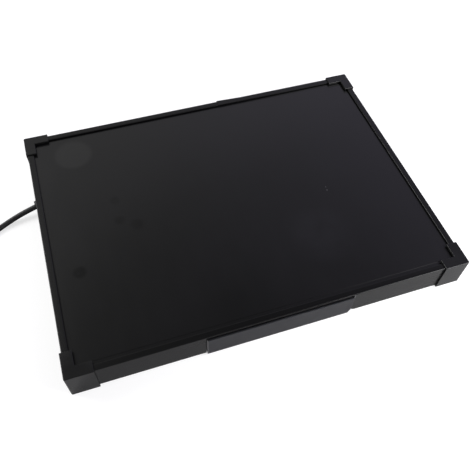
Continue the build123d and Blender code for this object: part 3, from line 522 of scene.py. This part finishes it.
def woven(name, colour, pitch):
    """Hook-and-loop tape: crossed threads with a fine pile."""
    s = Surface(name, 0.9, 0.0, 1.4, **{"Sheen Weight": 0.25})
    across = s.add("ShaderNodeTexWave", wave_type="BANDS", bands_direction="X")
    along = s.add("ShaderNodeTexWave", wave_type="BANDS", bands_direction="Y")
    for wave in (across, along):
        wave.inputs["Scale"].default_value = 1 / pitch / WEAVE_SCALE
        wave.inputs["Distortion"].default_value = 1.5
        s.link(s.stretched((1, 1, 1), THREAD_TURN), wave.inputs["Vector"])
    weave = s.times(across.outputs["Fac"], along.outputs["Fac"])
    pile = s.noise(0.0004, 2)
    both = s.combined(s.times(weave, LARGE_SHARE), s.times(pile, FINE_SHARE))
    s.colour(s.blend(both, tone(colour, 0.6), tone(colour, 1.8)))
    s.relief(both, 0.00025)
    return s.material


ALONG_X, ALONG_Y = (0.04, 1, 1), (1, 0.04, 1)
LOOKS = {
    "panel": panel_surface(),
    "rail_plastic": rail_surface("rail_along_x", ALONG_X).material,
    "cap_plastic": worked("cap_moulding", (0.0040, 0.0040, 0.0042), 0.25, ior=1.37, uneven=0.12,
                          grain=0.0007, depth=0.00003).material,
    # The strip's left end gets a painted highlight, partly bare metal.
    "strip_metal": with_painted_highlight(
        worked("strip_anodised", (0.034, 0.034, 0.039), 0.34, 0.6, 1.40, uneven=0.10,
               blotch=0.02, grain=0.0005, depth=0.00001),
        *STRIP_END_HIGHLIGHT,
    ).material,
    "tray_steel": worked("powder_coat", (0.022, 0.022, 0.024), 0.5, uneven=0.1,
                         grain=0.0012, depth=0.00004).material,
    "foam_rubber": worked("closed_cell_foam", (0.010, 0.010, 0.010), 0.85, uneven=0.3,
                          grain=0.0006, depth=0.0001).material,
    "silicone": worked("red_silicone", (0.32, 0.08, 0.05), 0.38, uneven=0.08).material,
    "foil": worked("bright_foil", (0.82, 0.83, 0.84), 0.25, 1.0, uneven=0.04, blotch=0.01,
                   grain=0.004, depth=0.0002, spread=0.08).material,
    "foam_board": worked("rigid_foam", (0.86, 0.85, 0.80), 0.85, uneven=0.06, grain=0.0015,
                         depth=0.0002).material,
    "foot_rubber": worked("foot_rubber", (0.016, 0.016, 0.016), 0.75, uneven=0.2, grain=0.0006,
                          depth=0.00005).material,
    "screw_black": worked("black_oxide", (0.035, 0.035, 0.038), 0.38, 0.6, uneven=0.2,
                          blotch=0.002, grain=0.0003).material,
    "screw_zinc": worked("zinc_plate", (0.62, 0.62, 0.60), 0.3, 1.0, uneven=0.08, blotch=0.003,
                         grain=0.0003).material,
    "cord_rubber": worked("cord_sheath", (0.006, 0.006, 0.006), 0.42, ior=1.36, uneven=0.15,
                          blotch=0.006, grain=0.0005, depth=0.00002).material,
    "nylon": worked("natural_nylon", (0.80, 0.79, 0.74), 0.45, uneven=0.05).material,
    "box_plastic": worked("box_moulding", (0.04, 0.04, 0.04), 0.5, uneven=0.12,
                          depth=0.00003).material,
    "brass": worked("plain_brass", (0.78, 0.60, 0.28), 0.28, 1.0, uneven=0.1,
                    blotch=0.004).material,
    "cutout_body": worked("phenolic", (0.10, 0.07, 0.05), 0.32, uneven=0.15).material,
    "bracket_steel": worked("spring_steel", (0.6, 0.6, 0.6), 0.3, 1.0, uneven=0.06,
                            stretch=ALONG_X).material,
    "fuse_body": worked("ceramic_sleeve", (0.88, 0.86, 0.80), 0.35, uneven=0.05).material,
    "wire_brown": worked("wire_brown", (0.16, 0.07, 0.03), 0.42, uneven=0.12).material,
    "wire_blue": worked("wire_blue", (0.03, 0.10, 0.42), 0.42, uneven=0.12).material,
    "wire_green": striped("wire_green_yellow", (0.10, 0.30, 0.03), (0.75, 0.62, 0.04),
                          (1, 1, 0.2), 0.012),
    "tie_fabric": woven("hook_and_loop", (0.022, 0.022, 0.023), 0.0008),
    "plug_rubber": worked("plug_moulding", (0.016, 0.016, 0.016), 0.5, uneven=0.15,
                          depth=0.00003).material,
    "pin_nickel": worked("nickel_plate", (0.75, 0.74, 0.70), 0.2, 1.0, uneven=0.05,
                         blotch=0.004).material,
}
RAIL_ALONG_Y = rail_surface("rail_along_y", ALONG_Y).material
# The rail's end beside the strip gets a painted highlight in place of light on its rounded edge.
RAIL_WITH_HIGHLIGHT = with_painted_highlight(rail_surface("rail_with_painted_highlight", ALONG_X), *RAIL_END_HIGHLIGHT).material


def dress(piece, material):
    """Puts the material in every slot of a piece."""
    if not piece.data.materials:
        piece.data.materials.append(material)
    for k in range(len(piece.data.materials)):
        piece.data.materials[k] = material


for part in frame["record"]["subparts"]:
    dress(nodes[part["node"]], LOOKS[part["material_slot"]])
for name in ("left_rail", "right_rail"):
    dress(nodes[name], RAIL_ALONG_Y)
dress(nodes["front_rail"], RAIL_WITH_HIGHLIGHT)
dress(cord, LOOKS["cord_rubber"])
dress(tie, LOOKS["tie_fabric"])


# ---- stage ---------------------------------------------------------------------------------------
FLOOR_HALF, FLOOR_Z = 4.0, -0.0002
FLOOR_GREY = 0.43
FLOOR_LIFT = 0.62  # light that the floor gives out to the camera only


def add_floor():
    """A pale paper floor, brighter to the camera than in the object's reflections."""
    mesh = bpy.data.meshes.new("floor")
    corners = ((-1, -1), (1, -1), (1, 1), (-1, 1))
    mesh.from_pydata(
        [(x * FLOOR_HALF, y * FLOOR_HALF, FLOOR_Z) for x, y in corners], [], [(0, 1, 2, 3)]
    )
    floor = bpy.data.objects.new("floor", mesh)
    bpy.context.scene.collection.objects.link(floor)
    s = worked("pale_paper", (FLOOR_GREY,) * 3, 0.8, uneven=0.006, blotch=0.3, grain=0.002)
    rays = s.add("ShaderNodeLightPath")
    s.shader.inputs["Emission Color"].default_value = (1.0, 1.0, 1.0, 1.0)
    lift = s.times(rays.outputs["Is Camera Ray"], FLOOR_LIFT)
    s.link(lift, s.shader.inputs["Emission Strength"])
    dress(floor, s.material)


def add_area(name, spot, aim, size, power):
    data = bpy.data.lights.new(name, "AREA")
    data.shape, data.size, data.size_y, data.energy = "RECTANGLE", size[0], size[1], power
    light = bpy.data.objects.new(name, data)
    away = Vector(spot) - Vector(aim)
    turn = away.to_track_quat("Z", "Y")
    light.matrix_world = Matrix.LocRotScale(Vector(spot), turn, None)
    bpy.context.scene.collection.objects.link(light)


SKY_DARK = Vector((0.15, 0.087, 0.985))  # the dark part of the studio, overhead and to the rear
# Brightness by how nearly a direction is the dark one: cosine of the angle between, and level.
SKY_LEVELS = ((0.0, 0.66), (0.70, 0.68), (0.81, 0.47), (0.91, 0.19), (0.99, 0.05))
SKY_LEFT, SKY_RIGHT = (1.0, 1.0, 0.99, 1.0), (0.99, 0.94, 1.20, 1.0)
SKY_TURN = 0.5  # the sky has its right-hand colour from here on, along X


def add_sky():
    """A studio that is pale round the sides and dark overhead, a little violet on the right."""
    world = bpy.data.worlds.new("studio")
    bpy.context.scene.world = world
    world.use_nodes = True
    tree = world.node_tree
    ground = tree.nodes["Background"]
    place = tree.nodes.new("ShaderNodeTexCoord")
    near_dark = tree.nodes.new("ShaderNodeVectorMath")
    near_dark.operation = "DOT_PRODUCT"
    near_dark.inputs[1].default_value = SKY_DARK
    level = tree.nodes.new("ShaderNodeValToRGB")
    ramp = level.color_ramp.elements
    while len(ramp) < len(SKY_LEVELS):
        ramp.new(0.5)
    for stop, (position, value) in zip(ramp, SKY_LEVELS):
        stop.position, stop.color = position, (value, value, value, 1)
    split = tree.nodes.new("ShaderNodeSeparateXYZ")
    side = tree.nodes.new("ShaderNodeMapRange")
    side.inputs["From Min"].default_value = 0.0
    side.inputs["From Max"].default_value = SKY_TURN
    tint = tree.nodes.new("ShaderNodeMix")
    tint.data_type = "RGBA"
    for socket, colour in zip(colour_sockets(tint.inputs), (SKY_LEFT, SKY_RIGHT)):
        socket.default_value = colour
    tree.links.new(place.outputs["Generated"], near_dark.inputs[0])
    tree.links.new(place.outputs["Generated"], split.inputs[0])
    tree.links.new(split.outputs["X"], side.inputs["Value"])
    tree.links.new(side.outputs["Result"], tint.inputs["Factor"])
    tree.links.new(colour_sockets(tint.outputs)[0], ground.inputs["Color"])
    tree.links.new(near_dark.outputs["Value"], level.inputs["Fac"])
    tree.links.new(level.outputs["Color"], ground.inputs["Strength"])


# Name, place, what it points at, size and power in watts.
LIGHTS = (
    ("key_light", (0.62, -0.50, 0.62), (0.15, -0.10, 0.0), (0.5, 0.45), 10.0),
    ("left_rear_light", (-1.15, 0.75, 1.15), (-0.1, 0.0, 0.0), (0.9, 0.8), 20.0),
)

add_floor()
add_sky()
for light in LIGHTS:
    add_area(*light)
